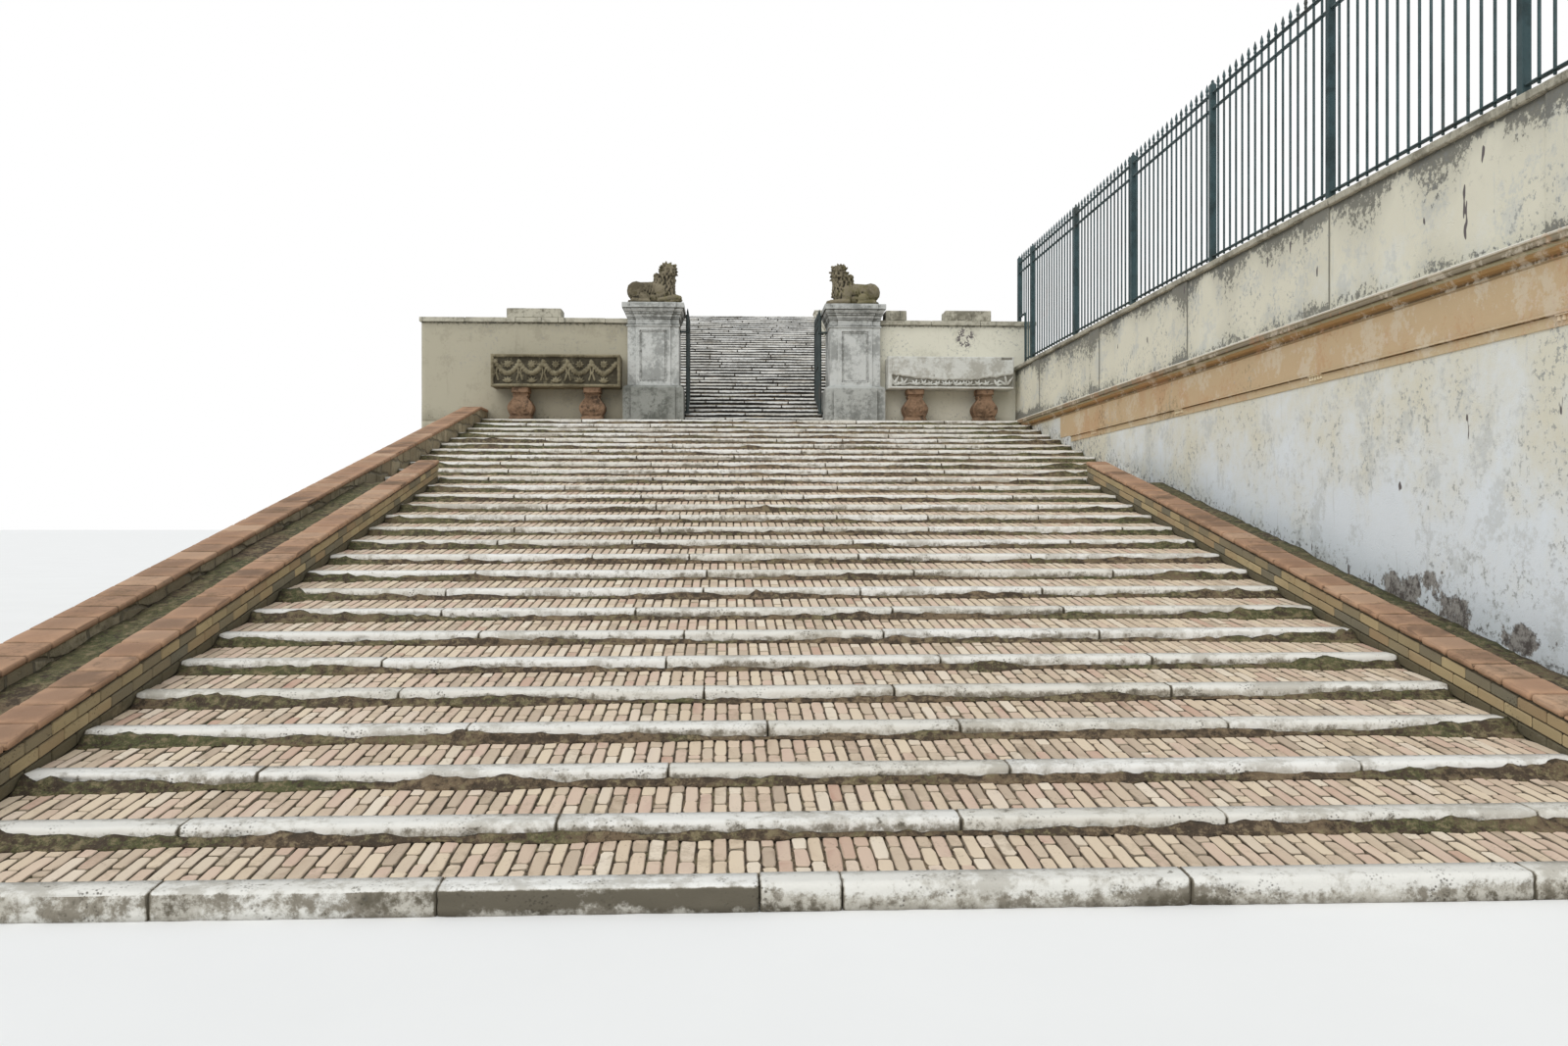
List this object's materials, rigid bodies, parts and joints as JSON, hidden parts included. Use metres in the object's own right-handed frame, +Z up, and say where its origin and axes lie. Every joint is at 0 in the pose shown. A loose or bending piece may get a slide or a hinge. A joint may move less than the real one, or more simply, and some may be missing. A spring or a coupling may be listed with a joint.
{
  "type": "garden stairway with gateway and railed side wall",
  "caption": "Monumental outdoor stairway: brick treads with stone nosings, kerbs, a moulded side wall with a spear-topped railing, and lion-topped gate piers with hinged iron leaves.",
  "frame": {"origin": "on the ground, on the stair's axis, at the front of the first nosing", "axes": "+X to the right as one climbs, +Y uphill, +Z up"},
  "size_m": [11.5, 32.14, 8.078],
  "materials": {
    "masonry": "matte",
    "travertine": "matte",
    "tread_brick": "matte",
    "kerb_brick": "matte",
    "terracotta": "matte",
    "earth": "matte",
    "cream_render": "matte",
    "ochre_render": "matte",
    "yellow_render": "matte",
    "coping_stone": "matte",
    "iron": "satin",
    "pier_stone": "matte",
    "lion_stone": "matte",
    "support_stone": "matte",
    "chest_stone": "matte"
  },
  "bodies": {
    "stairway": {"lower_core": "masonry", "lower_nosings": "travertine", "lower_brick_beds": "tread_brick", "landing_paving": "tread_brick", "kerb_bricks": "kerb_brick", "kerb_copings": "terracotta", "earth_strips": "earth", "left_flank_wall": "cream_render", "left_flank_coping": "terracotta", "gateway_core": "masonry", "upper_core": "masonry", "upper_nosings": "travertine", "upper_brick_beds": "tread_brick", "top_landing": "tread_brick", "upper_flank_walls": "cream_render", "upper_flank_copings": "travertine", "side_wall": "cream_render", "side_architrave": "ochre_render", "side_frieze": "ochre_render", "side_cornice": "ochre_render", "side_strips": "cream_render", "side_coping": "coping_stone", "railing_posts": "iron", "railing_panel_1": "iron", "railing_panel_2": "iron", "railing_panel_3": "iron", "railing_panel_4": "iron", "railing_panel_5": "iron", "railing_panel_6": "iron", "railing_end_panel": "iron", "end_wall_left": "yellow_render", "end_wall_right": "yellow_render", "end_coping_left": "coping_stone", "end_coping_right": "coping_stone", "coping_blocks": "coping_stone", "pier_base_left": "pier_stone", "pier_base_right": "pier_stone", "pier_die_left": "pier_stone", "pier_die_right": "pier_stone", "pier_cap_left": "pier_stone", "pier_cap_right": "pier_stone", "lion_left": "lion_stone", "lion_right": "lion_stone", "chest_left": "chest_stone", "chest_right": "chest_stone", "chest_supports": "support_stone", "gate_brackets": "iron"},
    "leaf_left": {"gate_leaf_left": "iron"},
    "leaf_right": {"gate_leaf_right": "iron"}
  },
  "joints": [
    {"name": "gate_left", "type": "hinge", "parent": "stairway", "child": "leaf_left", "pos_m": [-1.25, 17.7, 3.785], "axis": [0, 0, -1], "range_deg": [0, 90]},
    {"name": "gate_right", "type": "hinge", "parent": "stairway", "child": "leaf_right", "pos_m": [1.25, 17.7, 3.785], "axis": [0, 0, 1], "range_deg": [0, 90]}
  ]
}
